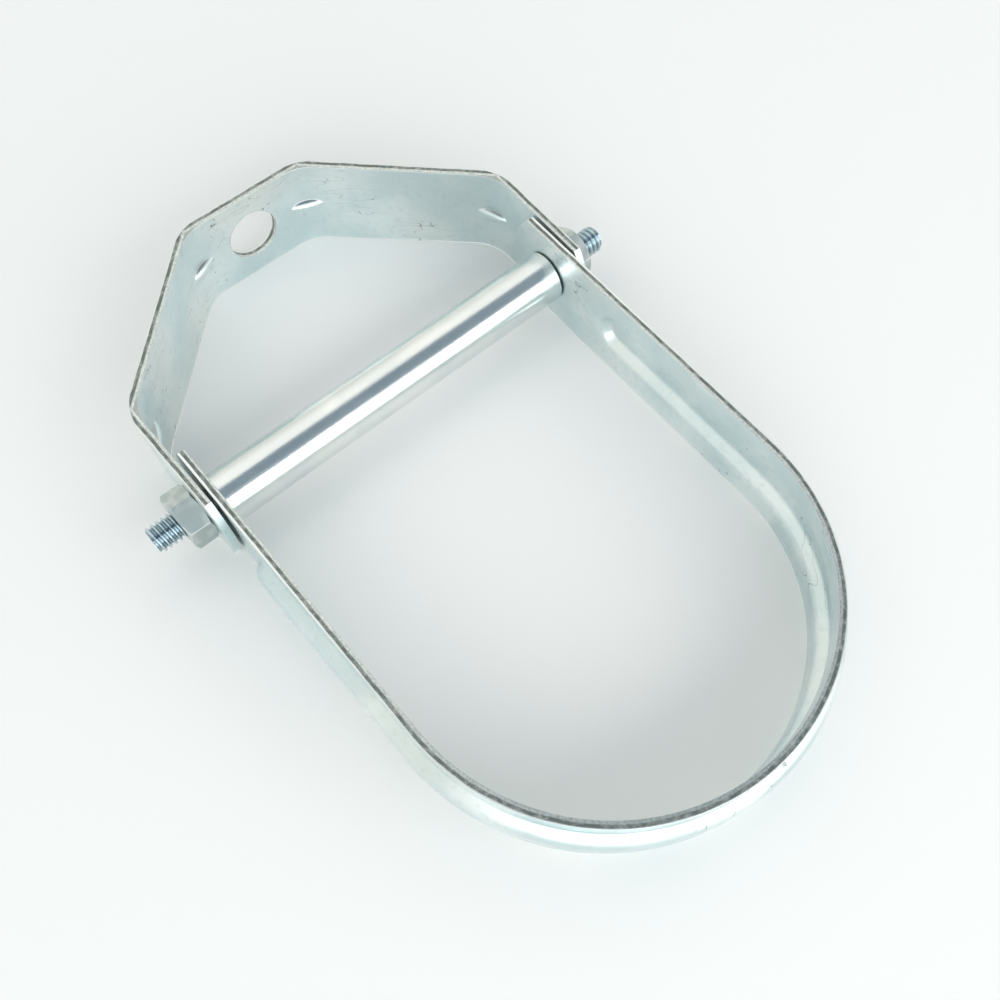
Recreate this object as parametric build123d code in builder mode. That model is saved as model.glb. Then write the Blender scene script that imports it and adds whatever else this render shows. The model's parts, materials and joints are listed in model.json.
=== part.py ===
"""Clevis pipe hanger: a bent yoke, a ribbed U strap, a spacer tube, a cross stud and two nuts.

Frame: millimetres, origin at the centre of the rod hole on the yoke's top face. +Z points up along
the hanger rod, +X along the cross stud and +Y along the pipe that lies in the strap.
"""

import os
from math import acos, atan2, cos, degrees, hypot, radians, sin, tan

from build123d import *

os.makedirs("parts", exist_ok=True)

# ---- Strip stock ---------------------------------------------------------------------------------
strip_width = 34.0
strip_thickness = 2.6

# ---- Upper yoke ----------------------------------------------------------------------------------
rod_hole_diameter = 19.0
top_flat_half = 23.9  # from the rod hole to the mitre of the outer faces
shoulder_drop = 47.5  # from the top face down to the leg bend's mitre
leg_gap = 1.3  # play between a yoke's leg and the strap's leg inside it, at the stud
yoke_bend_radius = 20.0  # outer radius of the four bends
stud_depth = 80.0  # from the top face down to the cross stud
leg_end_crown = 16.0  # from the stud to the end of a leg, on the leg's middle line
leg_end_radius = 27.0  # convex sheared end, seen square on

dart_half_length = 9.0  # stiffening darts pressed into the bends
dart_radius = 2.2
dart_bury = 0.2  # how far the dart's axis lies outside the bend's surface

# ---- Lower strap ---------------------------------------------------------------------------------
seat_radius = 71.5  # inside of the U, at the flat margins of the strip
strap_half_span = 70.1  # from the middle to a leg's inner face, at the stud
seat_depth = 107.0  # from the stud down to the middle of the seat's circle

rib_width = 16.4  # rib pressed outwards along the strap, across its root
rib_height = 4.1
rib_start = 36.5  # from the stud down to the middle of the rib's rounded end
rib_flank_angle = 50.0  # slope of the rib's sides, from the strip's face
rib_crest_radius = 1.5  # inside the rib's crest
rib_root_radius = 1.0  # outside the rib's root
rib_end_margin = 3.0  # flat ring kept round the rib's rounded end

# ---- Cross stud, nuts and spacer tube ------------------------------------------------------------
stud_diameter = 9.53
stud_end_chamfer = 0.9
stud_past_nut = 9.6  # thread that stands out past each nut
stud_hole_clearance = 0.4  # radial, in the yoke and the strap

nut_across_flats = 17.4
nut_thickness = 8.4
nut_chamfer_angle = 30.0
nut_mouth_chamfer = 0.6
left_nut_turn = 0.0  # turn of each hexagon about the stud
right_nut_turn = 0.0
nut_seat_clearance = 0.05  # between a nut and the yoke's leg
thread_clearance = 0.02  # radial, between a nut's bore and the stud

tube_outer_diameter = 17.9
tube_wall = 2.7
tube_edge_chamfer = 0.3
tube_end_clearance = 0.45  # between a tube end and the strap at the stud's height
tube_rest_clearance = 0.05  # between the top of the stud and the bore that hangs on it

# ---- Worked out from the sizes above ---------------------------------------------------------------
yoke_half_span = strap_half_span + 2 * strip_thickness + leg_gap  # to a leg's outer face
stud_hole_radius = stud_diameter / 2 + stud_hole_clearance
nut_seat = yoke_half_span + nut_seat_clearance
nut_outer_face = nut_seat + nut_thickness
stud_half_length = nut_outer_face + stud_past_nut
tube_length = 2 * (strap_half_span - tube_end_clearance)
tube_bore_radius = tube_outer_diameter / 2 - tube_wall
tube_drop = tube_bore_radius - stud_diameter / 2 - tube_rest_clearance
seat_level = -(stud_depth + seat_depth)
over = 5.0  # how far cutting bodies run past what they cut


def leg_end(tip_level, direction, half_span):
    """Cutter that leaves a convex end on the strip's legs: everything beyond the arc goes."""
    centre_level = tip_level - direction * leg_end_radius
    with BuildPart(mode=Mode.PRIVATE) as cutter:
        with BuildSketch(Plane.YZ) as outline:
            with Locations((0, tip_level)):
                Rectangle(2 * strip_width, 2 * leg_end_radius)
            with Locations((0, centre_level)):
                Circle(leg_end_radius, mode=Mode.SUBTRACT)
            with Locations((0, tip_level - direction * 2 * leg_end_radius)):
                Rectangle(4 * strip_width, 2 * leg_end_radius, mode=Mode.SUBTRACT)
        extrude(amount=half_span + over, both=True)
    return cutter.part


def dart(corner, bisector, outward):
    """Spindle pressed into a bend: its long axis lies across the bend, at right angles to the bisector."""
    along = (-bisector[1], bisector[0])
    middle = (corner[0] + outward * bisector[0], corner[1] + outward * bisector[1])
    plane = Plane(
        origin=(middle[0], 0, middle[1]), x_dir=(along[0], 0, along[1]), z_dir=(0, 1, 0)
    )
    with BuildPart(mode=Mode.PRIVATE) as spindle:
        with BuildSketch(plane) as half_lens:
            with BuildLine():
                ThreePointArc((-dart_half_length, 0), (0, dart_radius), (dart_half_length, 0))
                Line((-dart_half_length, 0), (dart_half_length, 0))
            make_face()
        revolve(axis=Axis(plane.origin, plane.x_dir))
    return spindle.part


def bend_sag(turn):
    """How far a bend's outer arc lies inside the corner of its two flats."""
    return yoke_bend_radius * (1 / cos(turn / 2) - 1)


# ---- Upper yoke ------------------------------------------------------------------------------------
leg_tip = -(stud_depth + leg_end_crown)
shoulder_slope = atan2(shoulder_drop, yoke_half_span - top_flat_half)
yoke_outline = [
    (-yoke_half_span, leg_tip - over),
    (-yoke_half_span, -shoulder_drop),
    (-top_flat_half, 0),
    (top_flat_half, 0),
    (yoke_half_span, -shoulder_drop),
    (yoke_half_span, leg_tip - over),
]
top_bisector = (sin(shoulder_slope / 2), cos(shoulder_slope / 2))
leg_bisector_angle = shoulder_slope / 2 + radians(45)
leg_bisector = (sin(leg_bisector_angle), cos(leg_bisector_angle))
bends = []
for side in (-1, 1):
    bends.append(
        ((side * top_flat_half, 0), (side * top_bisector[0], top_bisector[1]), shoulder_slope)
    )
    bends.append(
        (
            (side * yoke_half_span, -shoulder_drop),
            (side * leg_bisector[0], leg_bisector[1]),
            radians(90) - shoulder_slope,
        )
    )

with BuildPart() as upper_yoke:
    with BuildSketch(Plane.XZ) as yoke_section:
        with BuildLine():
            FilletPolyline(*yoke_outline, radius=yoke_bend_radius)
            offset(amount=strip_thickness, side=Side.RIGHT)
        make_face()
    extrude(amount=strip_width / 2, both=True)
    # Stiffening darts: a raised spindle inside each bend and the matching groove outside it.
    for corner, bisector, turn in bends:
        add(dart(corner, bisector, dart_bury - bend_sag(turn) - strip_thickness))
    for corner, bisector, turn in bends:
        add(dart(corner, bisector, dart_bury - bend_sag(turn)), mode=Mode.SUBTRACT)
    add(leg_end(leg_tip, -1, yoke_half_span), mode=Mode.SUBTRACT)
    with BuildSketch(Plane.XY) as rod_hole:
        Circle(rod_hole_diameter / 2)
    extrude(amount=-(strip_thickness + over), mode=Mode.SUBTRACT)
    with BuildSketch(Plane.YZ) as yoke_stud_holes:
        with Locations((0, -stud_depth)):
            Circle(stud_hole_radius)
    extrude(amount=yoke_half_span + over, both=True, mode=Mode.SUBTRACT)
upper_yoke.part.label = "upper_yoke"
export_step(upper_yoke.part, "parts/upper_yoke.step")


# ---- Lower strap -----------------------------------------------------------------------------------
# Seen along the pipe, a leg's inner face runs from the stud's height to its tangent point on the seat.
leg_reach = hypot(strap_half_span, seat_depth)
tangent_angle = atan2(seat_depth, strap_half_span) - acos(seat_radius / leg_reach)
outward = (cos(tangent_angle), sin(tangent_angle))  # normal of the right leg's inner face, in X and Z
downward = (outward[1], -outward[0])
leg_length = (leg_reach**2 - seat_radius**2) ** 0.5
rib_start_along = rib_start / -downward[1]
tangent_point = (seat_radius * outward[0], seat_level + seat_radius * outward[1])
rib_origin = (
    strap_half_span + rib_start_along * downward[0],
    -stud_depth + rib_start_along * downward[1],
)


def leg_plane(origin):
    """Plane across the right leg: x runs along +Y, y outwards through the strip, z down the leg."""
    return Plane(
        origin=(origin[0], 0, origin[1]),
        x_dir=(0, 1, 0),
        z_dir=(downward[0], 0, downward[1]),
    )


def ribbed_section(plane, start=-strip_width / 2, end=strip_width / 2):
    """Cross-section of the ribbed strip from start to end: flat margins, sloping flanks, flat crest."""
    flank_run = rib_height / tan(radians(rib_flank_angle))
    root, crest = rib_width / 2, rib_width / 2 - flank_run
    inner_root_radius = rib_root_radius + strip_thickness
    with BuildSketch(plane, mode=Mode.PRIVATE) as section:
        with BuildLine():
            FilletPolyline(
                (-strip_width / 2, 0),
                (-root, 0),
                (-crest, rib_height),
                (crest, rib_height),
                (root, 0),
                (strip_width / 2, 0),
                radius=[inner_root_radius, rib_crest_radius, rib_crest_radius, inner_root_radius],
            )
            offset(amount=strip_thickness, side=Side.LEFT)
        make_face()
        with Locations(((start + end) / 2, 0)):
            Rectangle(end - start, 4 * (strip_thickness + rib_height), mode=Mode.INTERSECT)
    return section.sketch


rib_end_radius = rib_width / 2 + rib_end_margin
rib_plane = leg_plane(rib_origin)
tangent_plane = leg_plane(tangent_point)
across_leg = Plane(rib_plane.origin, x_dir=(0, 1, 0), z_dir=rib_plane.y_dir)
seat_axis = Axis((0, 0, seat_level), (0, 1, 0))
seat_sweep = 180 + 2 * degrees(tangent_angle)

with BuildPart() as lower_strap:
    # Plain top of the right leg, opened for the rib's rounded end, which is turned in place.
    with BuildSketch(rib_plane):
        with Locations((0, strip_thickness / 2)):
            Rectangle(strip_width, strip_thickness)
    extrude(amount=-(rib_start_along + leg_end_crown + over))
    with BuildSketch(across_leg):
        Circle(rib_end_radius)
    extrude(amount=strip_thickness, mode=Mode.SUBTRACT)
    rib_end_axis = Axis(rib_plane.origin, rib_plane.y_dir)
    revolve(ribbed_section(rib_plane, 0, rib_end_radius), axis=rib_end_axis, revolution_arc=180)
    extrude(ribbed_section(rib_plane), amount=leg_length - rib_start_along)
    mirror(about=Plane.YZ)
    revolve(ribbed_section(tangent_plane), axis=seat_axis, revolution_arc=seat_sweep)
    add(leg_end(leg_end_crown - stud_depth, 1, strap_half_span), mode=Mode.SUBTRACT)
    with BuildSketch(Plane.YZ) as strap_stud_holes:
        with Locations((0, -stud_depth)):
            Circle(stud_hole_radius)
    extrude(amount=yoke_half_span, both=True, mode=Mode.SUBTRACT)
lower_strap.part.label = "lower_strap"
export_step(lower_strap.part, "parts/lower_strap.step")


# ---- Spacer tube -----------------------------------------------------------------------------------
with BuildPart() as spacer_tube:
    with BuildSketch(Plane.YZ) as tube_ring:
        with Locations((0, -(stud_depth + tube_drop))):
            Circle(tube_outer_diameter / 2)
            Circle(tube_bore_radius, mode=Mode.SUBTRACT)
    extrude(amount=tube_length / 2, both=True)
    chamfer(spacer_tube.edges().filter_by(GeomType.CIRCLE), length=tube_edge_chamfer)
spacer_tube.part.label = "spacer_tube"
export_step(spacer_tube.part, "parts/spacer_tube.step")


# ---- Cross stud ------------------------------------------------------------------------------------
with BuildPart() as cross_stud:
    with BuildSketch(Plane.YZ) as stud_round:
        with Locations((0, -stud_depth)):
            Circle(stud_diameter / 2)
    extrude(amount=stud_half_length, both=True)
    chamfer(cross_stud.edges().filter_by(GeomType.CIRCLE), length=stud_end_chamfer)
cross_stud.part.label = "cross_stud"
export_step(cross_stud.part, "parts/cross_stud.step")


# ---- Hexagon nuts ----------------------------------------------------------------------------------
def hexagon_nut(side, turn):
    """Nut outside the yoke's leg on one side of the hanger, chamfered on both faces."""
    corner_radius = nut_across_flats / 2 / cos(radians(30))
    drop = (corner_radius - nut_across_flats / 2) * tan(radians(nut_chamfer_angle))
    seat = Plane(origin=(side * nut_seat, 0, -stud_depth), x_dir=(0, 1, 0), z_dir=(side, 0, 0))
    lengthwise = Plane(origin=seat.origin, x_dir=seat.z_dir, z_dir=(0, 1, 0))
    with BuildPart(mode=Mode.PRIVATE) as nut:
        with BuildSketch(seat):
            RegularPolygon(corner_radius, side_count=6, rotation=turn)
            Circle(stud_diameter / 2 + thread_clearance, mode=Mode.SUBTRACT)
        extrude(amount=nut_thickness)
        with BuildSketch(lengthwise):
            Polygon(
                (0, 0),
                (0, nut_across_flats / 2),
                (drop, corner_radius),
                (nut_thickness - drop, corner_radius),
                (nut_thickness, nut_across_flats / 2),
                (nut_thickness, 0),
                align=None,
            )
        revolve(axis=Axis(seat.origin, seat.z_dir), mode=Mode.INTERSECT)
        mouths = nut.edges().filter_by(GeomType.CIRCLE).group_by(lambda edge: edge.radius)[0]
        chamfer(mouths, length=nut_mouth_chamfer)
    return nut.part


left_nut = hexagon_nut(-1, left_nut_turn)
left_nut.label = "left_nut"
export_step(left_nut, "parts/left_nut.step")

right_nut = hexagon_nut(1, right_nut_turn)
right_nut.label = "right_nut"
export_step(right_nut, "parts/right_nut.step")
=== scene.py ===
# %% [markdown]
# # Clevis pipe hanger
# A clevis hanger is two bent strips of steel held together by a cross stud: a yoke with a hole for the
# ceiling rod, and a U strap in which the pipe lies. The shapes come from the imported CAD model. This
# lesson gives them their zinc plate, cuts a real thread on the stud, and sets up a table, soft light
# and a camera.

import bpy
import bmesh
import json
from math import acos, atan2, cos, hypot, pi, radians, sin
from mathutils import Matrix, Vector


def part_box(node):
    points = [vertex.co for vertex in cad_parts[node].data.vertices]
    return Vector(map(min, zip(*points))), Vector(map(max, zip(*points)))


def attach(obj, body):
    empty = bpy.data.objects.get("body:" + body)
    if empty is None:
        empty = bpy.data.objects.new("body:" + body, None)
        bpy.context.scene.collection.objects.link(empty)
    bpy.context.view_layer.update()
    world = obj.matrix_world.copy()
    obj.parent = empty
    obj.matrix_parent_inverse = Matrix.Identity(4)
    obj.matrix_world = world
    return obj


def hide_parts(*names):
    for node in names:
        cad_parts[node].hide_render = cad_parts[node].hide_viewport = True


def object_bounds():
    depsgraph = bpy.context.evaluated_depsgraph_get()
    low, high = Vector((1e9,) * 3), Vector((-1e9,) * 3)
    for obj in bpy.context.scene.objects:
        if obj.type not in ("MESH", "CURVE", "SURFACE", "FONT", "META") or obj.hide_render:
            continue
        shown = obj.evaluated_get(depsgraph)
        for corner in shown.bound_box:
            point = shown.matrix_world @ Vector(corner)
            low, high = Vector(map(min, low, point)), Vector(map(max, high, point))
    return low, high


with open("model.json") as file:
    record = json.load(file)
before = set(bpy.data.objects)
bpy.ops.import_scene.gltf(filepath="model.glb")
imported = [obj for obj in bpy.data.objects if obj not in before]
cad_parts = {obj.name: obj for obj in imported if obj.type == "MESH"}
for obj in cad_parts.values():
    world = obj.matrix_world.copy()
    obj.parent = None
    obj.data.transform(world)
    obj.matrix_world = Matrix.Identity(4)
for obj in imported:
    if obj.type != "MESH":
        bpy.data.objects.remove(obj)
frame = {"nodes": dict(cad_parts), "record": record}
cad_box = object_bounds()
print("CAD box in metres:", cad_box)

# %% [markdown]
# ## Sizes that the finishes need
# Several finishes follow the strip: its sheared edges are banded across the thickness, and its faces
# are streaked along the length. The sizes could be typed in again, but then they might drift from the
# CAD model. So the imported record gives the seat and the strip, and the parts' boxes give the spans.
# Only the yoke's two corner places are in neither, and they are written out here.

# %% Read the strip's sizes
mounts = {mount["name"]: mount for mount in frame["record"]["mounts"]}
joints = {joint["name"]: joint for joint in frame["record"]["behaviour"]["joints"]}
seat_radius = mounts["pipe_seat"]["dims"]["r_mm"] / 1000
seat_level = mounts["pipe_seat"]["pos_m"][2]
strip_width = mounts["pipe_seat"]["dims"]["length_mm"] / 1000
strip_thickness = mounts["rod_hole"]["dims"]["length_mm"] / 1000
rod_hole_radius = mounts["rod_hole"]["dims"]["r_mm"] / 1000
stud_level = joints["stud_spin"]["pos_m"][2]
yoke_half_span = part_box("upper_yoke")[1][0]
strap_half_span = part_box("spacer_tube")[1][0]
yoke_top_flat_half = 0.0239
yoke_shoulder_drop = 0.0475
print("strip", strip_width, "x", strip_thickness, "seat radius", seat_radius)

# %% [markdown]
# ## Camera
# The hanger lies on its back on a table and is seen from above its front edge, turned by about forty
# degrees. A camera could be given a rotation matrix. It is placed by the point it looks at, two
# angles, a distance and a roll, because they are easier to picture and to change.

# %% Place the camera
target = Vector((-0.002743, 0.052439, -0.175403))
turn, lift, roll = -0.2681, -0.2070, -0.7444
distance = 0.363543
towards_camera = Vector((sin(turn) * cos(lift), -cos(turn) * cos(lift), sin(lift)))
level_right = (-towards_camera).cross(Vector((0, 0, 1))).normalized()
level_up = level_right.cross(-towards_camera)
picture_right = cos(roll) * level_right + sin(roll) * level_up
picture_up = -sin(roll) * level_right + cos(roll) * level_up

lens_to_sensor = 0.9809
lens = bpy.data.cameras.new("table_camera")
lens.sensor_width = 36.0
lens.lens = lens_to_sensor * lens.sensor_width
lens.shift_x, lens.shift_y = -0.06, 0.135
lens.clip_start = 0.01
camera = bpy.data.objects.new("table_camera", lens)
bpy.context.scene.collection.objects.link(camera)
axes = Matrix((picture_right, picture_up, towards_camera)).transposed().to_4x4()
camera.matrix_world = Matrix.Translation(target + distance * towards_camera) @ axes
bpy.context.scene.camera = camera
bpy.context.scene.view_settings.view_transform = "Standard"
print("camera at", [round(value, 3) for value in camera.matrix_world.translation])

# %% [markdown]
# ## Helpers for node trees
# Every material is a chain of nodes. It could be wired by hand in the editor, but a script can be read
# and run again. The first helper adds a node and fills its sockets, with numbers or with links. The
# next three do a sum, a smooth step and a mix. With them a finish reads like a recipe.

# %% Helpers that wire nodes
def wire(tree, kind, sockets=None, **options):
    """Adds a node, sets its options and fills its sockets with values or links."""
    node = tree.nodes.new("ShaderNode" + kind)
    for option, value in options.items():
        setattr(node, option, value)
    for socket, value in (sockets or {}).items():
        if isinstance(value, bpy.types.NodeSocket):
            tree.links.new(value, node.inputs[socket])
        else:
            node.inputs[socket].default_value = value
    return node


def work(tree, operation, first, second=0.0, third=0.0, clamp=False):
    """One sum: the result of a Math node."""
    sockets = {0: first, 1: second}
    if operation in ("MULTIPLY_ADD", "COMPARE", "SMOOTH_MIN", "SMOOTH_MAX"):
        sockets[2] = third
    return wire(tree, "Math", sockets, operation=operation, use_clamp=clamp).outputs[0]


def ramp(tree, value, low, high):
    """Rises smoothly from 0 at low to 1 at high, or falls if low is above high."""
    node = wire(
        tree, "MapRange", {"Value": value, "From Min": low, "From Max": high},
        interpolation_type="SMOOTHSTEP",
    )
    return node.outputs["Result"]


def blend(tree, share, first, second):
    """Mixes two colours, as much of the second as the share says."""
    node = wire(tree, "Mix", data_type="RGBA")
    for socket, value in ((0, share), (6, first), (7, second)):
        if isinstance(value, bpy.types.NodeSocket):
            tree.links.new(value, node.inputs[socket])
        else:
            node.inputs[socket].default_value = value if socket == 0 else (*value, 1)
    return node.outputs[2]


# %% [markdown]
# ## Helpers for uneven metal and painted corner highlights
# Real plate is never even. Painted images could show that, but they stretch and have seams, so the
# wear comes from noise in the object's own coordinates. Corners get a painted highlight, which also
# stands for rubbed wear, and a rounded normal finds them without changing the mesh.

# %% Helpers for uneven metal and painted corner highlights
def grain(tree, place, scale, stretch=(1, 1, 1), detail=2.0, roughness=0.5):
    """Noise of so many features a metre, squeezed along each axis by its stretch."""
    mapped = wire(tree, "Mapping", {"Vector": place, "Scale": stretch}).outputs[0]
    sockets = {"Vector": mapped, "Scale": scale, "Detail": detail, "Roughness": roughness}
    return wire(tree, "TexNoise", sockets).outputs["Fac"]


def rounded_corners(tree, radius):
    """The rounded normal of sharp corners, and how near to a corner a point lies."""
    rounded = wire(tree, "Bevel", {"Radius": radius}, samples=6).outputs[0]
    plain = wire(tree, "NewGeometry").outputs["Normal"]
    likeness = wire(tree, "VectorMath", {0: rounded, 1: plain}, operation="DOT_PRODUCT")
    return rounded, ramp(tree, likeness.outputs["Value"], 0.995, 0.90)


def new_finish(name):
    """A bare metal, with its tree, its shader and the coordinates on the object."""
    material = bpy.data.materials.new(name)
    material.use_nodes = True
    tree = material.node_tree
    tree.nodes.clear()
    shader = wire(tree, "BsdfPrincipled", {"Metallic": 1.0})
    output = wire(tree, "OutputMaterial")
    tree.links.new(shader.outputs[0], output.inputs["Surface"])
    coordinates = wire(tree, "TexCoord")
    return material, tree, shader, coordinates


def raised(tree, heights, strength, height, rounded=None):
    """Relief of so many metres from heights, on the rounded normal where there is one."""
    sockets = {"Height": heights, "Strength": strength, "Distance": height}
    if rounded is not None:
        sockets["Normal"] = rounded
    return wire(tree, "Bump", sockets).outputs[0]


def plate(tree, shader, colour, rough, relief):
    """Gives the metal shader its colour, its roughness and its relief."""
    for socket, value in (("Base Color", colour), ("Roughness", rough), ("Normal", relief)):
        tree.links.new(value, shader.inputs[socket])


def dress(node_name, material):
    """Puts one finish on a CAD node."""
    piece = frame["nodes"][node_name]
    piece.data.materials.clear()
    piece.data.materials.append(material)
    print(node_name, "wears", material.name)


# %% [markdown]
# ## Table
# The table is a plain pale sheet under the hanger, which lies on the strips' back edges. It could be
# a thin slab, but one face is enough, because only its upper side is seen.

# %% Make the table
def make_table(half_width=3.0, gap=0.0001):
    """A large square just under the strips' back edges, facing the camera's side."""
    mesh = bpy.data.meshes.new("table")
    shape = bmesh.new()
    bmesh.ops.create_grid(shape, x_segments=1, y_segments=1, size=half_width)
    bmesh.ops.rotate(shape, verts=shape.verts, matrix=Matrix.Rotation(radians(90), 3, "X"))
    bmesh.ops.translate(shape, verts=shape.verts, vec=(0, strip_width / 2 + gap, seat_level))
    shape.to_mesh(mesh)
    shape.free()
    table = bpy.data.objects.new("table", mesh)
    bpy.context.scene.collection.objects.link(table)
    return table


table = make_table()
print("table faces", tuple(round(value) for value in table.data.polygons[0].normal))

# %% [markdown]
# ## Paper
# The sheet is matt off-white paper. A glowing white would hide the hanger's soft shadow, so the paper
# is a plain diffuse colour. It is clear from behind, where it would hide the hanger, and light that
# has gone less than a millimetre passes through it. Without that, the strips' back edges, which all
# but touch it, would get no light and look black from behind.

# %% Give the table its paper
touching_distance = 0.001
paper = bpy.data.materials.new("pale_paper")
paper.use_nodes = True
tree = paper.node_tree
tree.nodes.clear()
matt = wire(tree, "BsdfDiffuse", {"Color": (0.91, 0.915, 0.91, 1)})
clear = wire(tree, "BsdfTransparent")
side = wire(tree, "NewGeometry").outputs["Backfacing"]
ray_length = wire(tree, "LightPath").outputs["Ray Length"]
touching = work(tree, "LESS_THAN", ray_length, touching_distance)
see_through = work(tree, "MAXIMUM", side, touching)
one_sided = wire(tree, "MixShader", {0: see_through})
tree.links.new(matt.outputs[0], one_sided.inputs[1])
tree.links.new(clear.outputs[0], one_sided.inputs[2])
output = wire(tree, "OutputMaterial")
tree.links.new(one_sided.outputs[0], output.inputs["Surface"])
table.data.materials.append(paper)
print("paper passes light closer than", touching_distance, "m")

# %% [markdown]
# ## Room
# Bright zinc shows what stands around it, so the room matters more than the lamps. It could be a ring
# of lamps and boards. One world colour that changes with direction does the same with less: a soft
# white tent with a darker bluish opening above the table, where somebody looks in. The opening gives
# polished metal its dark streak.

# %% Light the room
onlooker_rise = radians(18)
opening_full, opening_end = radians(20), radians(33)
world = bpy.data.worlds.new("white_tent")
bpy.context.scene.world = world
world.use_nodes = True
tree = world.node_tree
tree.nodes.clear()
direction = wire(tree, "TexCoord").outputs["Generated"]
x, y, z = (wire(tree, "SeparateXYZ", {0: direction}).outputs[i] for i in range(3))
round_stud = wire(tree, "Mapping", {"Vector": direction, "Scale": (0, 1, 1)}).outputs[0]
round_stud = wire(tree, "VectorMath", {0: round_stud}, operation="NORMALIZE").outputs[0]
onlooker = (0, -cos(onlooker_rise), -sin(onlooker_rise))
facing = wire(tree, "VectorMath", {0: round_stud, 1: onlooker}, operation="DOT_PRODUCT")
opening = ramp(tree, facing.outputs["Value"], cos(opening_end), cos(opening_full))
opening = work(tree, "MULTIPLY", opening, ramp(tree, work(tree, "ABSOLUTE", x), 0.75, 0.50))
walls = blend(tree, ramp(tree, z, -0.4, 0.8), (0.96, 0.97, 0.95), (0.84, 0.855, 0.80))
walls = blend(tree, ramp(tree, y, -0.25, -0.85), walls, (1.14, 1.14, 1.10))
tent = blend(tree, opening, walls, (0.24, 0.31, 0.37))
seen = wire(tree, "LightPath").outputs["Is Camera Ray"]
shown = blend(tree, seen, tent, (0.93, 0.935, 0.93))
glow = wire(tree, "Background", {"Color": shown, "Strength": 1.0})
output = wire(tree, "OutputWorld")
tree.links.new(glow.outputs[0], output.inputs["Surface"])
print("the room is a", world.name)

# %% [markdown]
# ## Lamp
# The tent alone gives no soft shadow with a side to it. A sun would make the shadow hard, so the lamp
# is a wide one, low past the round of the U.

# %% Hang the lamp
def soft_lamp(name, towards, reach, width, height, level, colour):
    """A rectangular soft lamp, its long side along X, that looks at the middle of the hanger."""
    middle = Vector((0, 0, (cad_box[0][2] + cad_box[1][2]) / 2))
    lamp = bpy.data.lights.new(name, "AREA")
    lamp.shape, lamp.size, lamp.size_y = "RECTANGLE", width, height
    lamp.energy = level * pi * width * height
    lamp.color = colour
    holder = bpy.data.objects.new(name, lamp)
    back = Vector(towards).normalized()
    along = Vector((1, 0, 0))
    along = (along - along.dot(back) * back).normalized()
    turned = Matrix((along, back.cross(along), back)).transposed().to_4x4()
    holder.matrix_world = Matrix.Translation(middle + reach * back) @ turned
    bpy.context.scene.collection.objects.link(holder)
    return holder


soft_lamp(
    "low_window", towards=(-0.15, -0.45, -0.89), reach=2.2, width=4.6, height=1.75, level=1.75,
    colour=(1.0, 1.0, 0.99),
)

# %% [markdown]
# ## Depth in the strips' edges
# A sheared edge shows its cut in bands: a smooth roll-over by the outer face, painted bright for its
# plate and as a painted highlight on its rounded corner, a dark torn band, then a speckled one. The
# bands could be painted on an unwrapped mesh. Here the depth across the thickness is worked out from
# the same arcs and lines that shape the strip, because it needs no unwrapping and follows the strip
# round every bend.

# %% Depth below the strap's outer face
def strap_depth(tree, place):
    """Depth below the strap's outer face: a circle's distance round the seat, a plane's on the legs."""
    x, y, z = (wire(tree, "SeparateXYZ", {0: place}).outputs[i] for i in range(3))
    across = work(tree, "ABSOLUTE", x)
    above = work(tree, "SUBTRACT", z, seat_level)
    reach = hypot(strap_half_span, stud_level - seat_level)
    lean = atan2(stud_level - seat_level, strap_half_span) - acos(seat_radius / reach)
    rise = work(tree, "MULTIPLY", above, sin(lean))
    from_plane = work(tree, "MULTIPLY_ADD", across, cos(lean), rise)
    fall = work(tree, "MULTIPLY", across, -sin(lean))
    up_leg = work(tree, "MULTIPLY_ADD", above, cos(lean), fall)
    flattened = wire(tree, "CombineXYZ", {0: x, 2: above}).outputs[0]
    from_axis = wire(tree, "VectorMath", {0: flattened}, operation="LENGTH").outputs["Value"]
    on_leg = work(tree, "GREATER_THAN", up_leg, 0.0)
    gap = work(tree, "SUBTRACT", from_plane, from_axis)
    distance_out = work(tree, "MULTIPLY_ADD", gap, on_leg, from_axis)
    return work(tree, "SUBTRACT", seat_radius + strip_thickness, distance_out)


# %% Depth below the yoke's outer face
def yoke_depth(tree, place):
    """Depth below the yoke's outer face: the nearest of its flat, its shoulder and its leg."""
    x, y, z = (wire(tree, "SeparateXYZ", {0: place}).outputs[i] for i in range(3))
    across = work(tree, "ABSOLUTE", x)
    slope = atan2(yoke_shoulder_drop, yoke_half_span - yoke_top_flat_half)
    rise = work(tree, "MULTIPLY", z, cos(slope))
    shoulder = work(tree, "MULTIPLY_ADD", across, sin(slope), rise)
    shoulder = work(tree, "SUBTRACT", yoke_top_flat_half * sin(slope), shoulder)
    leg = work(tree, "SUBTRACT", yoke_half_span, across)
    flat = work(tree, "MULTIPLY", z, -1.0)
    return work(tree, "MINIMUM", work(tree, "MINIMUM", flat, shoulder), leg)


# %% [markdown]
# ## Zinc on the strips
# The strips are sheared from galvanised coil. Their faces are a cloudy blue-green silver with fine
# rolling lines along the length, a few scuffs and pits. One flat grey with a single noise would be
# quicker, but zinc shows several things at once: clouds, crystals, stains and marks. Each gets its own
# noise, and they are laid over one another from the largest to the smallest.

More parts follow.
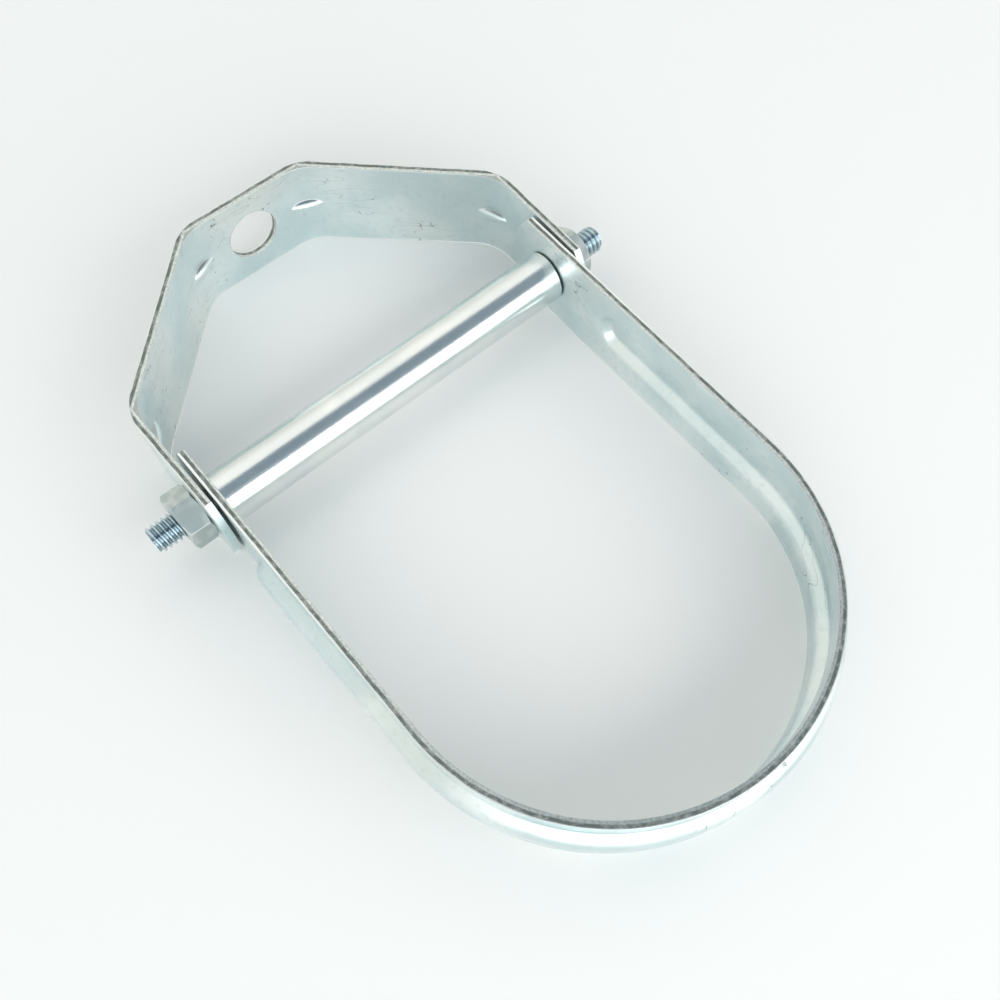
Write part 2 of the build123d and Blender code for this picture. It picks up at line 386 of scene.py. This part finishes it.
# %% Marks on the strip
def strip_marks(tree, place, scuff_width=0.0036, pit_size=0.085):
    """Thin curling scuffs in a few places, and a few small pits."""
    scuffs = grain(tree, place, 1.0, (60, 260, 60), detail=1.0)
    from_line = work(tree, "ABSOLUTE", work(tree, "SUBTRACT", scuffs, 0.56))
    thin = work(tree, "LESS_THAN", from_line, scuff_width)
    where = ramp(tree, grain(tree, place, 33, detail=0.0), 0.52, 0.60)
    scratched = work(tree, "MULTIPLY", thin, where)
    pits = wire(tree, "TexVoronoi", {"Vector": place, "Scale": 330.0})
    small = work(tree, "LESS_THAN", pits.outputs["Distance"], pit_size)
    few = wire(tree, "SeparateColor", {0: pits.outputs["Color"]}).outputs[0]
    pitted = work(tree, "MULTIPLY", small, work(tree, "GREATER_THAN", few, 0.93))
    return work(tree, "MAXIMUM", scratched, pitted)


# %% Colour of the rolled faces
def strip_face(tree, place, marks):
    """The face's colour, and the clouds that also change how rough it is."""
    cloud = ramp(tree, grain(tree, place, 38, detail=3.0), 0.35, 0.68)
    warm = ramp(tree, grain(tree, place, 17, detail=1.0), 0.48, 0.72)
    face = blend(tree, cloud, (0.66, 0.775, 0.785), (0.83, 0.90, 0.895))
    face = blend(tree, work(tree, "MULTIPLY", warm, 0.45), face, (0.82, 0.81, 0.74))
    spangle = ramp(tree, grain(tree, place, 420, detail=3.0, roughness=0.6), 0.52, 0.70)
    face = blend(tree, work(tree, "MULTIPLY", spangle, 0.22), face, (0.52, 0.59, 0.59))
    face = blend(tree, work(tree, "MULTIPLY", marks, 0.75), face, (0.20, 0.23, 0.24))
    return face, cloud


# %% Colour of the sheared edges
def strip_edge(tree, place, depth, speckle):
    """The edge's colour in bands across the thickness, and its torn band."""
    side_to_side = wire(tree, "SeparateXYZ", {0: place}).outputs[1]
    across_thickness = wire(tree, "CombineXYZ", {0: side_to_side, 1: depth}).outputs[0]
    along_edge = wire(tree, "VectorMath", {0: place, 1: across_thickness}).outputs[0]
    tears = grain(tree, along_edge, 420)
    wander = work(tree, "MULTIPLY_ADD", grain(tree, place, 160), 0.16, -0.08)
    banded = work(tree, "ADD", work(tree, "DIVIDE", depth, strip_thickness), wander)
    torn = work(tree, "MULTIPLY", ramp(tree, banded, 0.12, 0.20), ramp(tree, banded, 0.66, 0.50))
    inner_line = ramp(tree, banded, 0.90, 0.97)
    edge = blend(tree, ramp(tree, speckle, 0.34, 0.66), (0.50, 0.54, 0.52), (0.72, 0.75, 0.73))
    patchy = work(tree, "MULTIPLY_ADD", ramp(tree, tears, 0.70, 0.40), 0.45, 0.50)
    edge = blend(tree, work(tree, "MULTIPLY", torn, patchy), edge, (0.15, 0.18, 0.17))
    edge = blend(tree, work(tree, "MULTIPLY", inner_line, 0.7), edge, (0.30, 0.33, 0.33))
    # the roll-over by the outer face: plated colour with a painted highlight on its rounded corner
    edge = blend(tree, ramp(tree, banded, 0.14, 0.06), edge, (0.88, 0.90, 0.89))
    return edge, torn


# %% Where the strip was cut
def strip_cut(tree, place, normal, spare=0.0001):
    """One on the sheared edges and on the wall of the punched rod hole, none on the faces."""
    facing_side = wire(tree, "SeparateXYZ", {0: normal}).outputs[1]
    sheared = ramp(tree, work(tree, "ABSOLUTE", facing_side), 0.75, 0.95)
    flat_place = wire(tree, "Mapping", {"Vector": place, "Scale": (1, 1, 0)}).outputs[0]
    from_rod = wire(tree, "VectorMath", {0: flat_place}, operation="LENGTH").outputs["Value"]
    near_rod = work(tree, "LESS_THAN", from_rod, rod_hole_radius + spare)
    height = wire(tree, "SeparateXYZ", {0: place}).outputs[2]
    by_top = work(tree, "GREATER_THAN", height, -2 * strip_thickness)
    return work(tree, "MAXIMUM", sheared, work(tree, "MULTIPLY", near_rod, by_top))


# %% Zinc on sheared strip
def strip_zinc(name, depth_of, corner_radius=0.00035, relief_height=0.00004):
    """Cloudy galvanised strip with rolling lines, scuffs, pits and banded sheared edges."""
    material, tree, shader, coordinates = new_finish(name)
    shader.inputs["Coat Weight"].default_value = 0.25
    shader.inputs["Coat Roughness"].default_value = 0.10
    place = coordinates.outputs["Object"]
    cut = strip_cut(tree, place, coordinates.outputs["Normal"])
    marks = strip_marks(tree, place)
    face, cloud = strip_face(tree, place, marks)
    speckle = grain(tree, place, 1500, detail=2.0, roughness=0.6)
    edge, torn = strip_edge(tree, place, depth_of(tree, place), speckle)
    rounded, corner = rounded_corners(tree, corner_radius)
    colour = blend(tree, cut, face, edge)
    # painted highlight along the strip's corners, also standing for rubbed wear
    colour = blend(tree, work(tree, "MULTIPLY", corner, 0.6), colour, (0.90, 0.92, 0.91))

    rough_face = work(tree, "MULTIPLY_ADD", cloud, 0.10, 0.34)
    rough_edge = work(tree, "MULTIPLY_ADD", torn, 0.22, 0.34)
    rough = wire(tree, "Mix", {0: cut, 2: rough_face, 3: rough_edge}).outputs[0]

    rolled = grain(tree, place, 1.0, (26, 1500, 26), detail=2.0)
    heights = work(tree, "MULTIPLY", rolled, 0.35)
    heights = work(tree, "MULTIPLY_ADD", grain(tree, place, 90, detail=1.0), 8.0, heights)
    speckled = work(tree, "MULTIPLY_ADD", cut, 1.6, 0.30)
    heights = work(tree, "MULTIPLY_ADD", speckle, speckled, heights)
    heights = work(tree, "MULTIPLY_ADD", marks, -2.0, heights)
    plate(tree, shader, colour, rough, raised(tree, heights, 0.5, relief_height, rounded))
    return material


dress("lower_strap", strip_zinc("strap_zinc", strap_depth))
dress("upper_yoke", strip_zinc("yoke_zinc", yoke_depth))

# %% [markdown]
# ## Zinc on the spacer tube
# The tube is drawn smooth before it is plated, so it is nearly a mirror, with hair-thin draw lines
# along it. A perfect mirror would look like glass, so a fine ripple breaks up the edges of its
# reflections, as it does on real plate.

# %% Zinc on drawn tube
def tube_zinc(corner_radius=0.0003, relief_height=0.00004):
    """Near-mirror zinc with draw lines along X and a fine ripple."""
    material, tree, shader, coordinates = new_finish("drawn_tube_zinc")
    place = coordinates.outputs["Object"]
    drawn = grain(tree, place, 1.0, (14, 1400, 1400), detail=2.0)
    patches = ramp(tree, grain(tree, place, 60, detail=3.0), 0.40, 0.65)
    specks = ramp(tree, grain(tree, place, 1500, detail=2.0, roughness=0.7), 0.66, 0.74)
    colour = blend(tree, patches, (0.78, 0.815, 0.81), (0.86, 0.88, 0.855))
    colour = blend(tree, work(tree, "MULTIPLY", specks, 0.35), colour, (0.50, 0.54, 0.55))
    rough = work(tree, "MULTIPLY_ADD", drawn, 0.12, 0.15)
    rounded = wire(tree, "Bevel", {"Radius": corner_radius}, samples=4).outputs[0]
    ripple = grain(tree, place, 700, detail=2.0)
    heights = work(tree, "MULTIPLY_ADD", ripple, 0.9, work(tree, "MULTIPLY", drawn, 0.6))
    plate(tree, shader, colour, rough, raised(tree, heights, 0.6, relief_height, rounded))
    return material


dress("spacer_tube", tube_zinc())

# %% [markdown]
# ## Zinc on the nuts
# The nuts are barrel plated in bulk: a dull, slightly sugary grey-white. Their corners are painted
# brighter, for rubbed wear and as a painted highlight.
# The corners could be brightened by hand, face by face. The rounded normal finds all of them at once,
# so both nuts share one finish.

# %% Zinc on hexagon nuts
def nut_zinc(corner_radius=0.0004, relief_height=0.00006):
    """Dull grey-white plate, its corners painted brighter for rubbed wear and as a painted highlight.
    """
    material, tree, shader, coordinates = new_finish("barrel_nut_zinc")
    place = coordinates.outputs["Object"]
    sugar = grain(tree, place, 1300, detail=3.0, roughness=0.65)
    patches = ramp(tree, grain(tree, place, 190, detail=2.0), 0.38, 0.66)
    colour = blend(tree, patches, (0.50, 0.56, 0.55), (0.65, 0.69, 0.67))
    dull = work(tree, "MULTIPLY", ramp(tree, sugar, 0.60, 0.72), 0.4)
    colour = blend(tree, dull, colour, (0.42, 0.45, 0.45))
    rounded, corner = rounded_corners(tree, corner_radius)
    # painted highlight on the nut corners, also standing for rubbed wear
    colour = blend(tree, work(tree, "MULTIPLY", corner, 0.7), colour, (0.82, 0.85, 0.84))
    rough = work(tree, "MULTIPLY_ADD", sugar, 0.2, 0.30)
    plate(tree, shader, colour, rough, raised(tree, sugar, 0.5, relief_height, rounded))
    return material


nut_finish = nut_zinc()
dress("left_nut", nut_finish)
dress("right_nut", nut_finish)

# %% [markdown]
# ## Cross stud
# The stud's thread is rolled, so its flanks are smooth and its crests a little rounded. A bump on a
# plain rod would be lighter, but its outline would stay straight, so the thread is cut in the mesh.
# One turn of it is a short zigzag line. Spinning that line about the stud's axis while it moves
# forward by one pitch a turn sweeps out the whole helix.

# %% Sweep the thread
def sweep_thread(shape, radius, half, pitch, depth, steps):
    """Spins one turn's zigzag, from crest to root and back, into a helix past both ends."""
    turns = round(2 * half / pitch) + 3
    rising = [(0.0, 0.0), (0.08, 0.0), (0.14, 0.10), (0.40, 0.92), (0.47, 1.0)]
    falling = [(0.60, 1.0), (0.67, 0.92), (0.93, 0.10), (1.0, 0.0)]
    start = -(turns / 2 + 1) * pitch
    line = [
        shape.verts.new((start + along * pitch, 0, radius - deep * depth))
        for along, deep in rising + falling
    ]
    links = [shape.edges.new(pair) for pair in zip(line, line[1:])]
    bmesh.ops.spin(
        shape, geom=line + links, cent=(0, 0, 0), axis=(1, 0, 0),
        dvec=(pitch / steps, 0, 0), angle=2 * pi * turns, steps=steps * turns, use_merge=False,
    )
    bmesh.ops.remove_doubles(shape, verts=shape.verts, dist=pitch * 0.01)


# %% Trim the ends
def trim_ends(shape, radius, half, chamfer):
    """Cuts and caps both ends flat, then turns them down to a chamfer."""
    for end in (-1, 1):
        cut = bmesh.ops.bisect_plane(
            shape, geom=shape.verts[:] + shape.edges[:] + shape.faces[:],
            plane_co=(end * half, 0, 0), plane_no=(end, 0, 0), clear_outer=True,
        )
        rim = [edge for edge in cut["geom_cut"] if isinstance(edge, bmesh.types.BMEdge)]
        bmesh.ops.contextual_create(shape, geom=rim)
    for corner in shape.verts:
        out = hypot(corner.co.y, corner.co.z)
        allowed = radius - chamfer + (half - abs(corner.co.x))
        if out > allowed:
            corner.co.y *= allowed / out
            corner.co.z *= allowed / out


# %% Make the stud
def make_stud(pitch=0.0019, depth=0.00105, steps=24, chamfer=0.0009):
    """The whole stud as one threaded rod, from the CAD stud's box."""
    low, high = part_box("cross_stud")
    radius = (high[2] - low[2]) / 2
    half = (high[0] - low[0]) / 2
    shape = bmesh.new()
    sweep_thread(shape, radius, half, pitch, depth, steps)
    trim_ends(shape, radius, half, chamfer)
    bmesh.ops.translate(shape, verts=shape.verts, vec=(0, 0, stud_level))
    bmesh.ops.recalc_face_normals(shape, faces=shape.faces)
    mesh = bpy.data.meshes.new("threaded_stud")
    shape.to_mesh(mesh)
    open_edges = sum(1 for edge in shape.edges if len(edge.link_faces) != 2)
    print("stud:", len(shape.faces), "faces,", open_edges, "open edges")
    shape.free()
    stud = bpy.data.objects.new("threaded_stud", mesh)
    bpy.context.scene.collection.objects.link(stud)
    return stud


stud = make_stud()
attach(stud, "stud")
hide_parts("cross_stud")

# %% [markdown]
# ## Zinc on the thread
# The stud is plated and then passivated, which leaves a bluish tint, and the roots are painted darker
# as painted shade. They could be found from the mesh's hollows. The distance from the stud's axis is
# simpler, and it is exact on a round rod.

# %% Zinc on the thread
def thread_zinc(root_radius=0.0038, crest_radius=0.0047, relief_height=0.00004):
    """Bluish bright plate, with painted shade in the roots."""
    material, tree, shader, coordinates = new_finish("blue_thread_zinc")
    place = coordinates.outputs["Object"]
    x, y, z = (wire(tree, "SeparateXYZ", {0: place}).outputs[i] for i in range(3))
    level = work(tree, "SUBTRACT", z, stud_level)
    around = wire(tree, "CombineXYZ", {1: y, 2: level}).outputs[0]
    out = wire(tree, "VectorMath", {0: around}, operation="LENGTH").outputs["Value"]
    crest = ramp(tree, out, root_radius, crest_radius)
    mottled = grain(tree, place, 600, detail=2.0)
    # painted shade: the colour darkens from the crests down into the roots
    colour = blend(tree, crest, (0.30, 0.40, 0.46), (0.62, 0.74, 0.79))
    colour = blend(tree, work(tree, "MULTIPLY", mottled, 0.3), colour, (0.50, 0.56, 0.58))
    rough = work(tree, "MULTIPLY_ADD", mottled, 0.15, 0.16)
    plate(tree, shader, colour, rough, raised(tree, mottled, 0.3, relief_height))
    return material


stud.data.materials.append(thread_zinc())
print(stud.name, "wears", stud.data.materials[0].name)
